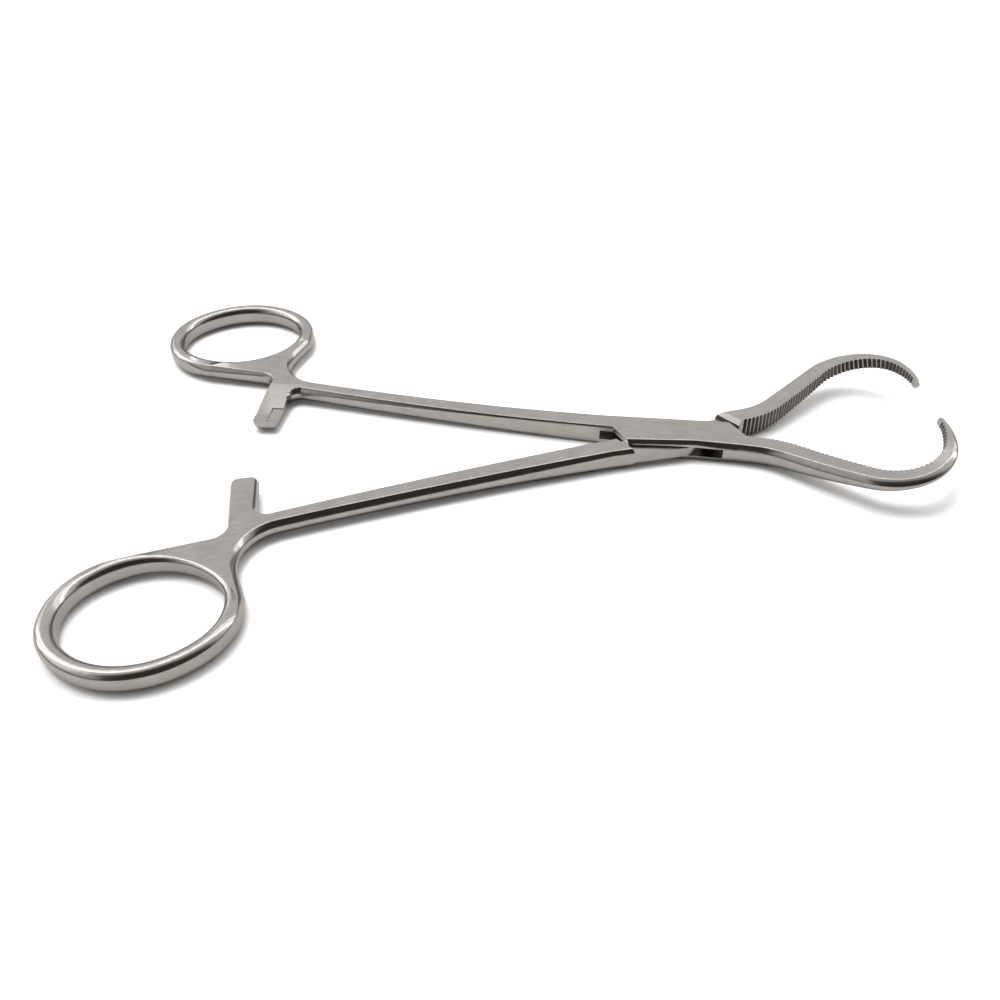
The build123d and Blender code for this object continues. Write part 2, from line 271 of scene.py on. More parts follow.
@dataclass(frozen=True)
class Studio:
    """A white table in a soft tent, with the room dark on the side of the camera.

    Bearings in the tent are parts of a unit vector, and brightness is a multiple of the tent's.
    """

    floor_span: float = 6000.0
    table_white: str = "#f4f4f4"
    # The table as the steel mirrors it, painted greyer: a painted shade on the steel's lower sides.
    table_mirrored_painted_shade: str = "#c4c1bf"
    middle: Triple = (-35.0, 0.0, 0.0)
    glow_span: Pair = (120.0, 320.0)
    glow: Pair = (0.03, 0.5)
    sky_grey: str = "#eceae8"
    dark_grey: str = "#1c1b1a"
    horizon: Pair = (0.06, 0.3)
    camera_side: Pair = (-0.5, -0.08)
    camera_side_light: Pair = (0.05, 1.0)
    left_side: Pair = (-0.5, -0.66)
    left_light: Pair = (0.0, 0.7)
    strips: tuple[Triple, ...] = ((0.2, 0.05, 5.0), (0.42, 0.03, 3.0))
    lamp_place: Triple = (-150.0, 110.0, 600.0)
    lamp_size: Pair = (380.0, 240.0)
    lamp_watts: float = 2.9

    def build(self) -> None:
        """Makes the floor, the world and the lamp."""
        self._floor()
        self._world()
        self._lamp()

    def _floor(self) -> None:
        """Lays the table top, which is white to the camera and keeps the object's shadow."""
        mesh = bpy.data.meshes.new("table_top")
        half = self.floor_span * MM / 2
        corners = [(-half, -half, 0), (half, -half, 0), (half, half, 0), (-half, half, 0)]
        mesh.from_pydata(corners, [], [(0, 1, 2, 3)])
        # Gives the eye a clean white ground with a soft grey shadow. The steel mirrors the table painted
        # greyer: painted shade on the steel's sides.
        material = bpy.data.materials.new("white_table_laminate")
        material.use_nodes = True
        tree = material.node_tree
        tree.nodes.clear()
        colour = add_choice(tree, "Is Glossy Ray", linear(self.table_white), linear(self.table_mirrored_painted_shade))
        paint = add_node(tree, "ShaderNodeBsdfDiffuse", {"Color": colour})
        place = add_node(tree, "ShaderNodeTexCoord").outputs["Object"]
        middle = tuple(Vector(self.middle) * MM)
        away = add_node(tree, "ShaderNodeVectorMath", {0: place, 1: middle}, operation="DISTANCE")
        span = (self.glow_span[0] * MM, self.glow_span[1] * MM)
        far = add_ramp(tree, away.outputs["Value"], span, self.glow)
        path = add_node(tree, "ShaderNodeLightPath")
        lift = add_math(tree, "MULTIPLY", path.outputs["Is Camera Ray"], far)
        glow = add_node(tree, "ShaderNodeEmission", {"Strength": lift})
        both = add_node(tree, "ShaderNodeAddShader", {0: paint.outputs[0], 1: glow.outputs[0]})
        add_node(tree, "ShaderNodeOutputMaterial", {"Surface": both.outputs[0]})
        mesh.materials.append(material)
        placed("table_top", mesh)

    def _world(self) -> None:
        """Hangs the grey tent, dark near the horizon and on the camera's side.

        It is lighter on the left, and two bright strips overhead draw the polish lines of the edges.
        """
        world = bpy.data.worlds.new("soft_tent")
        world.use_nodes = True
        tree = world.node_tree
        tree.nodes.clear()
        place = add_node(tree, "ShaderNodeTexCoord")
        axis = add_node(tree, "ShaderNodeSeparateXYZ", {0: place.outputs["Generated"]}).outputs
        height = add_node(tree, "ShaderNodeValToRGB", {"Fac": axis["Z"]})
        greys = (self.dark_grey, self.sky_grey)
        for element, at, grey in zip(height.color_ramp.elements, self.horizon, greys):
            element.position, element.color = at, linear(grey)
        side = add_ramp(tree, axis["Y"], self.camera_side, self.camera_side_light)
        left = add_ramp(tree, axis["X"], self.left_side, self.left_light)
        level = add_math(tree, "ADD", side, left)
        for middle, half_width, extra in self.strips:
            strip = add_math(tree, "COMPARE", axis["Y"], middle, half_width)
            level = add_math(tree, "MULTIPLY_ADD", strip, extra, level)
        links = {0: height.outputs["Color"], 1: level}
        shade = add_node(tree, "ShaderNodeVectorMath", links, operation="MULTIPLY")
        seen = add_choice(tree, "Is Camera Ray", shade.outputs[0], WHITE)
        back = add_node(tree, "ShaderNodeBackground", {"Color": seen, "Strength": 1.0})
        add_node(tree, "ShaderNodeOutputWorld", {"Surface": back.outputs[0]})
        bpy.context.scene.world = world

    def _lamp(self) -> None:
        """Hangs a soft lamp that lights the table and throws the shadow, unseen by the steel."""
        data = bpy.data.lights.new("overhead", "AREA")
        data.shape = "RECTANGLE"
        data.size, data.size_y = (side * MM for side in self.lamp_size)
        data.energy = self.lamp_watts
        lamp = placed("overhead", data)
        lamp.visible_glossy = False
        lamp.location = Vector(self.lamp_place) * MM
        ahead = Vector(self.middle) - Vector(self.lamp_place)
        lamp.rotation_euler = ahead.to_track_quat("-Z", "Y").to_euler()


@dataclass(frozen=True)
class Rim:
    """How the side runs down from a point of the outline.

    The side is bowed near its edges and upright between them, and a small round ends it. The height of
    its middle and half its own height come first, and bow is how far in its edge lies.
    """

    middle: float
    half: float
    bow: float
    bow_height: float
    edge_round: float

    def blended(self, other: "Rim", share: float) -> "Rim":
        """Mixes this rim with another one.

        Args:
            other: The rim at a share of 1.
            share: How much of the other one goes in.

        Returns:
            The mixed rim.
        """
        pairs = zip(astuple(self), astuple(other))
        return Rim(*(mine + (theirs - mine) * share for mine, theirs in pairs))

    def depths(self) -> list[float]:
        """Steps down the side, closest together round the edge.

        Returns:
            How far under the top face each level lies, down to the middle.
        """
        start = self._round_depth()
        steepest = math.asin(1 - start / self.edge_round)
        points = []
        for step in range(ROUND_STEPS):
            angle = math.pi / 2 + (steepest - math.pi / 2) * step / ROUND_STEPS
            points.append(self.edge_round * (1 - math.sin(angle)))
        below = max(self.bow_height, start * 2) - start
        points += [start + below * step / BOW_STEPS for step in range(BOW_STEPS + 1)]
        return [min(depth, self.half * LOWEST_SHARE) for depth in points]

    def inset_at(self, depth: float) -> float:
        """Measures how far in the side lies from the outline.

        Args:
            depth: How far under the top face.

        Returns:
            The distance in.
        """
        start = self._round_depth()
        if depth >= start:
            return self._bowed(depth)
        centre = self._bowed(start) + math.sqrt(self.edge_round**2 - (self.edge_round - start) ** 2)
        return centre - math.sqrt(self.edge_round**2 - (self.edge_round - depth) ** 2)

    def _round_depth(self) -> float:
        """How far down the small round reaches, until it meets the bowed side's slope."""
        return self.edge_round * (1 - math.sin(math.atan2(2 * self.bow, self.bow_height)))

    def _bowed(self, depth: float) -> float:
        """How far in the bowed side lies at a depth under the top."""
        return self.bow * max(0.0, 1 - depth / self.bow_height) ** 2


# The lock's ground edge, the shank's rounder sides, its tighter inner edge and the ratchet arm.
LOCK_RIM = Rim(LOCK_HALF, LOCK_HALF, bow=0.75, bow_height=1.5, edge_round=0.5)
SHANK_RIM = Rim(LOCK_HALF, NECK_HALF, bow=1.05, bow_height=1.9, edge_round=0.45)
INNER_RIM = Rim(LOCK_HALF, LOCK_HALF, bow=0.22, bow_height=0.6, edge_round=0.28)
ARM_RIM = Rim(LOCK_HALF, NECK_HALF, bow=0.6, bow_height=1.6, edge_round=0.25)


class Outline:
    """A closed line in plan, walked with the metal on its left, and the rim at each point."""

    def __init__(self) -> None:
        """Starts empty."""
        self.points: list[Vector] = []
        self.before: list[Rim] = []
        self.after: list[Rim] = []

    def add(self, place: Pair | Vector, rim: Rim, after: Rim | None = None) -> None:
        """Adds a point.

        Args:
            place: Where it lies, in millimetres.
            rim: The rim of the side that ends there.
            after: The rim of the side that starts there, where it differs.
        """
        self.points.append(Vector(place[:2]))
        self.before.append(rim)
        self.after.append(after or rim)

    def corner(self, place: Vector, onward: Vector, radius: float, rim: Rim) -> None:
        """Rounds a corner between the last point and the next one.

        Args:
            place: The sharp corner.
            onward: The point that the line goes on to.
            radius: The corner's radius.
            rim: The rim round it.
        """
        back, forth = (self.points[-1] - place).normalized(), (onward - place).normalized()
        half_angle = back.angle(forth) / 2
        reach = radius / math.tan(half_angle)
        centre = place + (back + forth).normalized() * radius / math.sin(half_angle)
        first, last = place + back * reach - centre, place + forth * reach - centre
        sweep = first.angle_signed(last)
        for step in range(CORNER_STEPS + 1):
            spoke = Matrix.Rotation(-sweep * step / CORNER_STEPS, 2) @ first
            self.add(centre + spoke, rim)

    def inset(self, index: int, before: float, after: float) -> Vector:
        """Moves a point in from the sides that meet there.

        Args:
            index: Which point.
            before: How far in from the side that ends there.
            after: How far in from the side that starts there.

        Returns:
            The moved point.
        """
        here = self.points[index]
        way_in = (here - self.points[index - 1]).normalized()
        way_out = (self.points[(index + 1) % len(self.points)] - here).normalized()
        left_in, left_out = Vector((-way_in.y, way_in.x)), Vector((-way_out.y, way_out.x))
        cross = left_in.x * left_out.y - left_in.y * left_out.x
        if abs(cross) < SMOOTH_TURN:
            return here + (left_in + left_out).normalized() * (before + after) / 2
        shift_x = (before * left_out.y - after * left_in.y) / cross
        shift_y = (after * left_in.x - before * left_out.x) / cross
        return here + Vector((shift_x, shift_y))


@dataclass
class ForgedHalf:
    """One forging: finger ring, ratchet arm, shank, lock body and serrated jaw.

    It is drawn with its ring at +Y and its jaw at -Y. The tongue half is its mirror image.
    """

    name: str
    node: str
    body: str
    mirrored: bool
    # The lock's body and the shoulders, whose chamfer is given as its width and depth.
    lock_thickness: float = LOCK_THICKNESS
    lock_half_width: float = 4.45
    lock_flare: float = 0.148
    crossing: float = 2.3
    closing_angle: float = 13.2
    shoulder_gap: float = 0.35
    shoulder_chamfer: Pair = (1.1, 0.8)
    # The box plate's ends, the slot and the tongue, as plan points.
    plate_handle: tuple[Pair, ...] = ((-15.2, 2.0), (-12.4, -3.2))
    plate_jaw_outer: float = 10.6
    plate_jaw_inner: Pair = (13.8, -2.6)
    slot_height: float = 2.4
    slot_handle_end: float = -18.2
    slot_handle_wall: Pair = (-4.0, 4.4)
    slot_jaw_wall: Pair = (8.3, -5.4)
    slot_jaw_end: Pair = (16.8, -2.9)
    tongue_play: float = 0.05
    tongue_crossing: float = 0.8
    tongue_corners: tuple[Pair, ...] = ((14.0, 2.4), (10.6, 5.6))
    tongue_handle: tuple[Pair, ...] = ((-15.6, -2.2), (-13.0, -6.5))
    # The rivet and its countersunk heads.
    pin_radius: float = 1.75
    pin_head_radius: float = 2.4
    pin_head_height: float = 0.65
    pin_clearance: float = 0.05
    # The shank's middle line, its widths at both ends, the share where it has thinned down, and the
    # shares that its sides run between.
    shank_start: Pair = (-12.0, 3.8)
    shank_length: float = 78.4
    shank_angle: float = 14.32
    shank_bow: float = 0.75
    shank_widths: Pair = (4.9, 4.3)
    shank_fall: float = 0.75
    shank_shares: Pair = (0.06, 0.9)
    # The ring from the shank's end, its bar's width and height, and the bearings where it leaves the neck.
    ring_offset: Pair = (-19.0, 22.9)
    ring_half_length: float = 16.5
    ring_half_width: float = 13.7
    ring_bar: Pair = (3.46, 5.0)
    ring_round: float = 1.7
    ring_open: Pair = (-14.0, 255.0)
    # The neck's corners from the shank's end, and the curves at its crest, arm and root.
    neck_height: float = NECK_HEIGHT
    neck_crest: Pair = (-7.4, 4.5)
    neck_arm_corner: Pair = (-7.6, 4.3)
    neck_curves: Triple = (9.0, 3.2, 2.2)
    # The ratchet arm, with its reach in degrees and its clearance from the other arm, and its teeth.
    arm_set_back: float = 5.0
    arm_width: float = 5.9
    arm_reach: float = 8.7
    arm_stop: float = 0.6
    arm_rounds: Pair = (1.9, 1.3)
    arm_clearance: float = 0.1
    arm_flat: float = 4.5
    tooth_count: int = 4
    tooth_pitch: float = 1.25
    tooth_depth: float = 0.7
    tooth_length: float = 2.6
    tooth_start: float = 1.1
    # The gripping face's line, as runs of a radius and its turn in degrees, or a length and 0.
    jaw_start: Pair = (6.0, 1.25)
    jaw_heading: float = 11.3
    jaw_runs: tuple[Pair, ...] = (
        (10.0, 0.0),
        (20.0, 27.2),
        (16.2, 0.0),
        (10.9, -38.5),
        (9.0, -64.0),
        (17.0, -28.0),
    )
    # Width and height at the root and the tip, and the power that they fall with.
    jaw_width: Triple = (4.9, 1.2, 4.0)
    jaw_height: Triple = (5.4, 1.5, 1.3)
    # How far the tip is swept up, the power of the sweep, and where it starts along X.
    jaw_rise: Triple = (8.4, 2.1, 8.0)
    jaw_root_slim: float = 0.0
    # The grip's V grooves.
    groove_pitch: float = 1.0
    groove_depth: float = 0.34
    groove_width: float = 0.8
    groove_first: float = 9.4

    def build(self, finish: Material, notch_material: Material) -> Object:
        """Makes the half as one mesh that stands for its CAD node.

        Args:
            finish: The steel it is made of.
            notch_material: The rougher milled steel of its grooves and the tongue's shoulder wall, its dark
                colour painted shade.

        Returns:
            The finished piece.
        """
        plate = self._plate()
        take, join = "DIFFERENCE", "UNION"
        if self.mirrored:
            tools = [(self._shoulder_cut(), take), (self._tongue(), join), (self._bore(), take)]
        else:
            tools = [(self._slot(), take), (self._pin_seat(), take)]
        tools.append((self._arm_relief(), take))
        # The second material is the milled steel, darkened with painted shade, for the grooves and the
        # shoulder wall.
        plate.data.materials.append(finish)
        plate.data.materials.append(notch_material)
        scraps = [plate]
        for tool, operation in tools:
            cut = plate.modifiers.new(tool.name, "BOOLEAN")
            cut.object, cut.operation, cut.solver = tool, operation, "EXACT"
            scraps.append(tool)
        for row in [self._serration_row(notch_material), self._ratchet_row(finish)]:
            row.add_to(plate)
            scraps += [row.path, row.cutter]
        piece = baked(plate, self.name, self.mirrored)
        for scrap in scraps:
            bpy.data.objects.remove(scrap)
        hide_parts(self.node)
        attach(piece, self.body)
        LOG.info("%s: %d faces", self.name, len(piece.data.polygons))
        return piece

    @property
    def middle(self) -> float:
        """The height of the lock's middle plane."""
        return self.lock_thickness / 2

    @property
    def shank_end(self) -> Vector:
        """The shank's end in plan, where the neck grows from it."""
        angle = math.radians(self.shank_angle)
        return Vector(self.shank_start) + Vector((-math.cos(angle), math.sin(angle))) * self.shank_length

    @property
    def arm_radius(self) -> float:
        """How far the ratchet arm's middle line lies from the pin."""
        return self.shank_end.length + self.arm_set_back

    @property
    def arm_root(self) -> float:
        """The bearing of the arm's root from the pin, in degrees."""
        return math.degrees(math.atan2(self.shank_end.y, -self.shank_end.x))

    @property
    def arm_tip(self) -> float:
        """The bearing of the arm's tip from the pin, in degrees."""
        return self.arm_root - self.arm_reach

    @property
    def arm_side(self) -> int:
        """1 where the arm lies low with its teeth up, -1 where it lies high with its teeth down."""
        return -1 if self.mirrored else 1

    @property
    def jaw_length(self) -> float:
        """The length of the gripping face's line."""
        return sum(size * math.radians(abs(turn)) if turn else size for size, turn in self.jaw_runs)

    def _polar(self, radius: float, degrees: float) -> Vector:
        """A plan point on the handle side, by its bearing from the pin."""
        angle = math.radians(degrees)
        return Vector((-radius * math.cos(angle), radius * math.sin(angle)))

    def _lock_side(self, x: float) -> float:
        """How far the lock's long side lies from the X axis."""
        return self.lock_half_width - self.lock_flare * (x - self.crossing)

    def _jaw_place(self, along: float) -> tuple[Vector, float]:
        """Walks along the gripping face's line.

        Args:
            along: How far to walk, in millimetres.

        Returns:
            The point, drawn at +Y, and the heading there in radians.
        """
        here, heading, left = Vector(self.jaw_start), math.radians(self.jaw_heading), along
        for size, turn in self.jaw_runs:
            length = size * math.radians(abs(turn)) if turn else size
            step = min(left, length)
            if turn:
                side = math.copysign(1, turn)
                centre = here + Vector((-math.sin(heading), math.cos(heading))) * side * size
                heading += side * step / size
                here = centre - Vector((-math.sin(heading), math.cos(heading))) * side * size
            else:
                here = here + Vector((math.cos(heading), math.sin(heading))) * step
            left -= step
            if left <= 0:
                break
        return here, heading

    def _jaw_lift(self, x: float) -> Pair:
        """Follows the jaw's sweep upwards.

        Args:
            x: How far along X.

        Returns:
            How far the jaw's middle has risen there, and its slope.
        """
        height, power, start = self.jaw_rise
        run = self._jaw_place(self.jaw_length)[0].x - start
        share = max(0.0, (x - start) / run)
        return height * share**power, power * height * share ** (power - 1) / run

    def _jaw_size(self, along: float) -> Pair:
        """Measures the jaw.

        Args:
            along: How far along the gripping face.

        Returns:
            The jaw's width and half its height there.
        """
        share = along / self.jaw_length
        wide, narrow, power = self.jaw_width
        high, low, fall = self.jaw_height
        settle = min(1.0, max(0.0, (along - JAW_ROOT_FROM) / JAW_ROOT_RUN))
        slim = self.jaw_root_slim * (1 - eased(settle))
        return wide - slim + (narrow - wide) * share**power, (high + (low - high) * share**fall) / 2

    def _jaw_rims(self, along: float) -> tuple[Rim, Rim]:
        """Shapes both sides of the jaw.

        Args:
            along: How far along the gripping face.

        Returns:
            The rims of the gripping face and of the outer side.
        """
        width, half = self._jaw_size(along)
        middle = self.middle + self._jaw_lift(self._jaw_place(along)[0].x)[0]
        bow = min(LOCK_RIM.bow + JAW_BOW_GROWTH * along / self.jaw_length, width * JAW_BOW_MOST)
        outer = Rim(middle, half, bow, half * JAW_BOW_HEIGHT, min(LOCK_RIM.edge_round, half * JAW_EDGE_MOST))
        return Rim(middle, half, 0.0, CRISP_EDGE, CRISP_EDGE), outer

    def _ring_point(self, degrees: float, out: float) -> Vector:
        """Finds a point of the ring, which is drawn from four centres.

        Args:
            degrees: The bearing that the ring's side faces there.
            out: How far outside the bar's middle line.

        Returns:
            The point in plan.
        """
        offset = (self.ring_half_length - self.ring_half_width) / (2 - math.sqrt(2))
        quarter = round(degrees / 90)
        aim, facing = math.radians(90 * quarter), math.radians(degrees)
        tight = quarter % 2 == 0
        shift = offset if tight else -offset
        radius = self.ring_half_length - offset if tight else self.ring_half_width + offset
        centre = self.shank_end + Vector(self.ring_offset) + Vector((math.cos(aim), math.sin(aim))) * shift
        return centre + Vector((math.cos(facing), math.sin(facing))) * (radius + out)

    def _shank_point(self, share: float, side: int) -> tuple[Vector, Rim]:
        """A point on one side of the shank, and its rim.

        Args:
            share: How far along the shank, from 0 at the lock to 1 at the neck.
            side: 1 for the outer side, -1 for the side towards the other shank.

        Returns:
            The point and the rim.
        """
        way = self.shank_end - Vector(self.shank_start)
        # A parabola with the bow as its height has four times the bow as its factor.
        sag = self.shank_bow * 4
        centre = Vector(self.shank_start) + way * share - Vector((0, sag * share * (1 - share)))
        along = (way - Vector((0, sag * (1 - 2 * share)))).normalized()
        width = self.shank_widths[0] + (self.shank_widths[1] - self.shank_widths[0]) * share
        fall = 1 - (1 - min(share / self.shank_fall, 1)) ** 2
        half = (self.lock_thickness + (self.neck_height - self.lock_thickness) * fall) / 2
        rim = LOCK_RIM.blended(SHANK_RIM, min(1.0, share / SHANK_RIM_FROM))
        if side < 0:
            rim = INNER_RIM.blended(SHANK_RIM, share * share)
        rim = replace(rim, half=half, bow_height=min(rim.bow_height, half))
        return centre + Vector((along.y, -along.x)) * side * width / 2, rim

    def _outline(self) -> Outline:
        """Draws the forging's outer line, anticlockwise from the box plate's jaw end.

        Returns:
            The closed line with its rims.
        """
        line = Outline()
        upright = replace(LOCK_RIM, bow=0.0, bow_height=CRISP_EDGE, edge_round=CRISP_EDGE)
        line.add((self.plate_jaw_outer, self._lock_side(self.plate_jaw_outer)), upright, LOCK_RIM)
        first, last = self.shank_shares
        shares = [first + (last - first) * step / SHANK_STEPS for step in range(SHANK_STEPS + 1)]
        for share in shares:
            line.add(*self._shank_point(share, 1))
        self._neck_and_ring(line)
        for share in reversed(shares):
            line.add(*self._shank_point(share, -1))
        line.add(self.plate_handle[0], self._shank_point(first, -1)[1], upright)
        line.add(self.plate_handle[1], upright, LOCK_RIM)
        line.add((self.crossing, -self.lock_half_width), LOCK_RIM)
        self._jaw_outline(line)
        line.add(self.plate_jaw_inner, self._jaw_rims(self.groove_first)[0], upright)
        return line

    def _neck_and_ring(self, line: Outline) -> None:
        """Walks round the neck's crest, the ring and the ratchet arm.

        Args:
            line: The line that the points are added to.
        """
        end, half = self.shank_end, self.ring_bar[1] / 2
        neck = replace(SHANK_RIM, half=self.neck_height / 2, bow_height=self.neck_height / 2)
        arm = replace(ARM_RIM, half=self.neck_height / 2)
        bar = Rim(self.middle, half, 0.0, self.ring_round, self.ring_round)
        start, stop = self.ring_open
        crest_curve, arm_curve, root_curve = self.neck_curves
        ring_start = self._ring_point(start, self.ring_bar[0] / 2)
        line.corner(end + Vector(self.neck_crest), ring_start, crest_curve, neck)
        turns = round((stop - start) / RING_STEP)
        for turn in range(turns + 1):
            degrees = start + (stop - start) * turn / turns
            near_neck = max(0.0, 1 - min(turn, turns - turn) * RING_STEP / RING_BLEND)
            rim = bar.blended(neck, eased(near_neck))
            line.add(self._ring_point(degrees, self.ring_bar[0] / 2), rim)
        outer, inner = self.arm_radius + self.arm_width / 2, self.arm_radius - self.arm_width / 2
        tips = [self._polar(outer, self.arm_tip), self._polar(inner, self.arm_tip)]
        angle = math.radians(self.shank_angle)
        across = Vector((math.sin(angle), math.cos(angle)))
        root = self._polar(inner, self.arm_root) - across * self.shank_widths[1] / 2
        line.corner(end + Vector(self.neck_arm_corner), tips[0], arm_curve, arm)
        line.corner(tips[0], tips[1], self.arm_rounds[0], arm)
        line.corner(tips[1], root, self.arm_rounds[1], arm)
        line.corner(root, self._shank_point(self.shank_shares[1], -1)[0], root_curve, neck)

    def _jaw_outline(self, line: Outline) -> None:
        """Walks out along the jaw's outer side, across its tip and back along the gripping face.

        Args:
            line: The line that the points are added to.
        """
        steps = round((self.jaw_length - JAW_OUTER_FROM) / JAW_STEP)
        for step in range(steps + 1):
            along = JAW_OUTER_FROM + (self.jaw_length - JAW_OUTER_FROM) * step / steps
            here, heading = self._jaw_place(along)
            place = here + Vector((-math.sin(heading), math.cos(heading))) * self._jaw_size(along)[0]
            inner, outer = self._jaw_rims(along)
            line.add((place.x, -place.y), outer, inner if step == steps else outer)
        steps = round((self.jaw_length - self.groove_first) / JAW_STEP)
        for step in range(steps + 1):
            along = self.jaw_length - (self.jaw_length - self.groove_first) * step / steps
            here = self._jaw_place(along)[0]
            line.add((here.x, -here.y), self._jaw_rims(along)[0])

    def _hole(self) -> Outline:
        """Draws the finger hole's line, clockwise, so that the metal is on its left too.

        Returns:
            The closed line with its rims.
        """
        line = Outline()
        bar = Rim(self.middle, self.ring_bar[1] / 2, 0.0, self.ring_round, self.ring_round)
        neck = replace(bar, half=self.neck_height / 2, edge_round=HOLE_NECK_ROUND, bow_height=HOLE_NECK_ROUND)
        start, stop = self.ring_open
        middle = (start + stop - 360) / 2
        steps = round(360 / RING_STEP)
        for step in range(steps):
            degrees = middle + 180 - 360 * step / steps
            near_neck = max(0.0, 1 - abs(180 - 360 * step / steps) / HOLE_BLEND)
            rim = bar.blended(neck, eased(near_neck))
            line.add(self._ring_point(degrees, -self.ring_bar[0] / 2), rim)
        return line

    def _plate(self) -> Object:
        """Raises the solid forging between its outline and its finger hole.

        Returns:
            The forging before its cuts.
        """
        mesh = bmesh.new()
        outline, hole = self._outline(), self._hole()
        walls = [self._wall(mesh, line) for line in (outline, hole)]
        for level in (0, -1):
            rims = [[column[level] for column in wall] for wall in walls]
            self._cap(mesh, rims)
        bmesh.ops.recalc_face_normals(mesh, faces=mesh.faces)
        return as_object(mesh, f"{self.name}_blank")

    def _wall(self, mesh: BMesh, line: Outline) -> list[list[BMVert]]:
        """Raises the side along a closed line.

        Args:
            mesh: The mesh it goes in.
            line: The closed line.

        Returns:
            A column of points, from top to bottom, for each point of the line.
        """
        columns = []
        for index, (before, after) in enumerate(zip(line.before, line.after)):
            deeper = before if before.bow + before.edge_round >= after.bow + after.edge_round else after
            top, bottom = [], []
            for depth in deeper.depths():
                x, y = line.inset(index, before.inset_at(depth), after.inset_at(depth))
                top.append(mesh.verts.new((x, y, deeper.middle + deeper.half - depth)))
                bottom.append(mesh.verts.new((x, y, deeper.middle - deeper.half + depth)))
            columns.append(top + bottom[::-1])
        for near, far in zip(columns, columns[1:] + columns[:1]):
            for level in range(len(near) - 1):
                mesh.faces.new((near[level], near[level + 1], far[level + 1], far[level]))
        return columns

    def _cap(self, mesh: BMesh, rims: list[list[BMVert]]) -> None:
        """Closes the top or the bottom between the outline and the finger hole.

        Args:
            mesh: The mesh it goes in.
            rims: The points round the outline and round the hole.
        """
        points = [vert for rim in rims for vert in rim]
        edges, start = [], 0
        for rim in rims:
            edges += [(start + i, start + (i + 1) % len(rim)) for i in range(len(rim))]
            start += len(rim)
        places = [vert.co.to_2d() for vert in points]
        _, _, faces, sources, _, _ = delaunay_2d_cdt(places, edges, [], ENCLOSED, PLAN_WELD)
        hole = [vert.co.to_2d() for vert in rims[1]]
        for face in faces:
            corners = [points[sources[corner][0]] for corner in face]
            centre = sum((corner.co.to_2d() for corner in corners), Vector((0, 0))) / len(corners)
            if not inside(hole, centre):
                mesh.faces.new(corners)

    def _drawn(self, points: list[Pair | Vector]) -> list[Pair]:
        """Turns points of the tongue half's real place to where it is drawn before mirroring."""
        return [(point[0], -point[1]) for point in points]

    def _shoulder_line(self, inner: Pair, outer: Pair) -> tuple[Vector, Vector]:
        """Draws one shoulder of the tongue: the box plate's end, turned open, less the gap.

        Args:
            inner: The corner where the plate's end meets the shank or the jaw.
            outer: The free corner of the plate's end.

        Returns:
            Both ends of the shoulder's line, which runs past the lock's sides.
        """
        turn = Matrix.Rotation(math.radians(self.closing_angle), 2)
        start, end = turn @ Vector(inner), turn @ Vector(outer)
        way = (end - start).normalized()
        gap = Vector((way.y, -way.x)) * self.shoulder_gap
        reach = way * self.lock_half_width * 2
        return start + gap - reach, end + gap + reach

    def _shoulder_cut(self) -> Object:
        """Makes what is milled away round the tongue, with a chamfer on the jaw's shoulder.

        Returns:
            The cutter, with its upright faces in the second material: the milled steel, darkened with painted
            shade.
        """
        handle = self._shoulder_line(*self.plate_handle)
        corner = (self.plate_jaw_outer, self._lock_side(self.plate_jaw_outer))
        jaw = self._shoulder_line(self.plate_jaw_inner, corner)
        wide, deep = self.shoulder_chamfer
        way = (jaw[1] - jaw[0]).normalized()
        out = Vector((way.y, -way.x)) * wide
        # The chamfer goes on past the top face by its own depth, so it is twice as wide there.
        layers = [
            (-CUT_PAST, [*handle, *jaw]),
            (self.lock_thickness - deep, [*handle, *jaw]),
            (self.lock_thickness + deep, [*handle, jaw[0] + out * 2, jaw[1] + out * 2]),
        ]
        cutter = stacked(f"{self.name}_shoulders", [(z, self._drawn(points)) for z, points in layers])
        # The shoulder's upright wall takes the milled steel, whose dark colour is painted shade.
        for polygon in cutter.data.polygons:
            polygon.material_index = 1 if abs(polygon.normal.z) < UPRIGHT_FACE else 0
        return cutter

    def _tongue(self) -> Object:
        """Makes the flat tongue between the shoulders.

        Returns:
            The tongue, which is joined to the forging.
        """
        outer = (self.tongue_crossing, -self.lock_half_width), (self.crossing, self.lock_half_width)
        points = [self.tongue_handle[1], outer[0], *self.tongue_corners, outer[1], self.tongue_handle[0]]
        half = self.slot_height / 2 - self.tongue_play
        layers = [(self.middle - half, self._drawn(points)), (self.middle + half, self._drawn(points))]
        return stacked(f"{self.name}_tongue", layers)

    def _slot(self) -> Object:
        """Makes the slot right through the box.

        Returns:
            The cutter, which runs well past the box's sides.
        """
        across = 3 * self.lock_half_width
        points = [
            (self.slot_handle_end, -across),
            (self.slot_jaw_wall[0], -across),
            self.slot_jaw_wall,
            self.slot_jaw_end,
            (self.slot_jaw_end[0], across),
            (self.slot_handle_wall[0], across),
            self.slot_handle_wall,
            (self.slot_handle_end, self.slot_handle_wall[1]),
        ]
        half = self.slot_height / 2
        return stacked(f"{self.name}_slot", [(self.middle - half, points), (self.middle + half, points)])

    def _pin_seat(self) -> Object:
        """The hole that the rivet fills."""
        return turned(f"{self.name}_pin_seat", PivotPin.profile(self, CUT_PAST))

    def _bore(self) -> Object:
        """The tongue's running bore."""
        radius = self.pin_radius + self.pin_clearance
        return turned(f"{self.name}_bore", [(radius, -CUT_PAST), (radius, self.lock_thickness + CUT_PAST)])

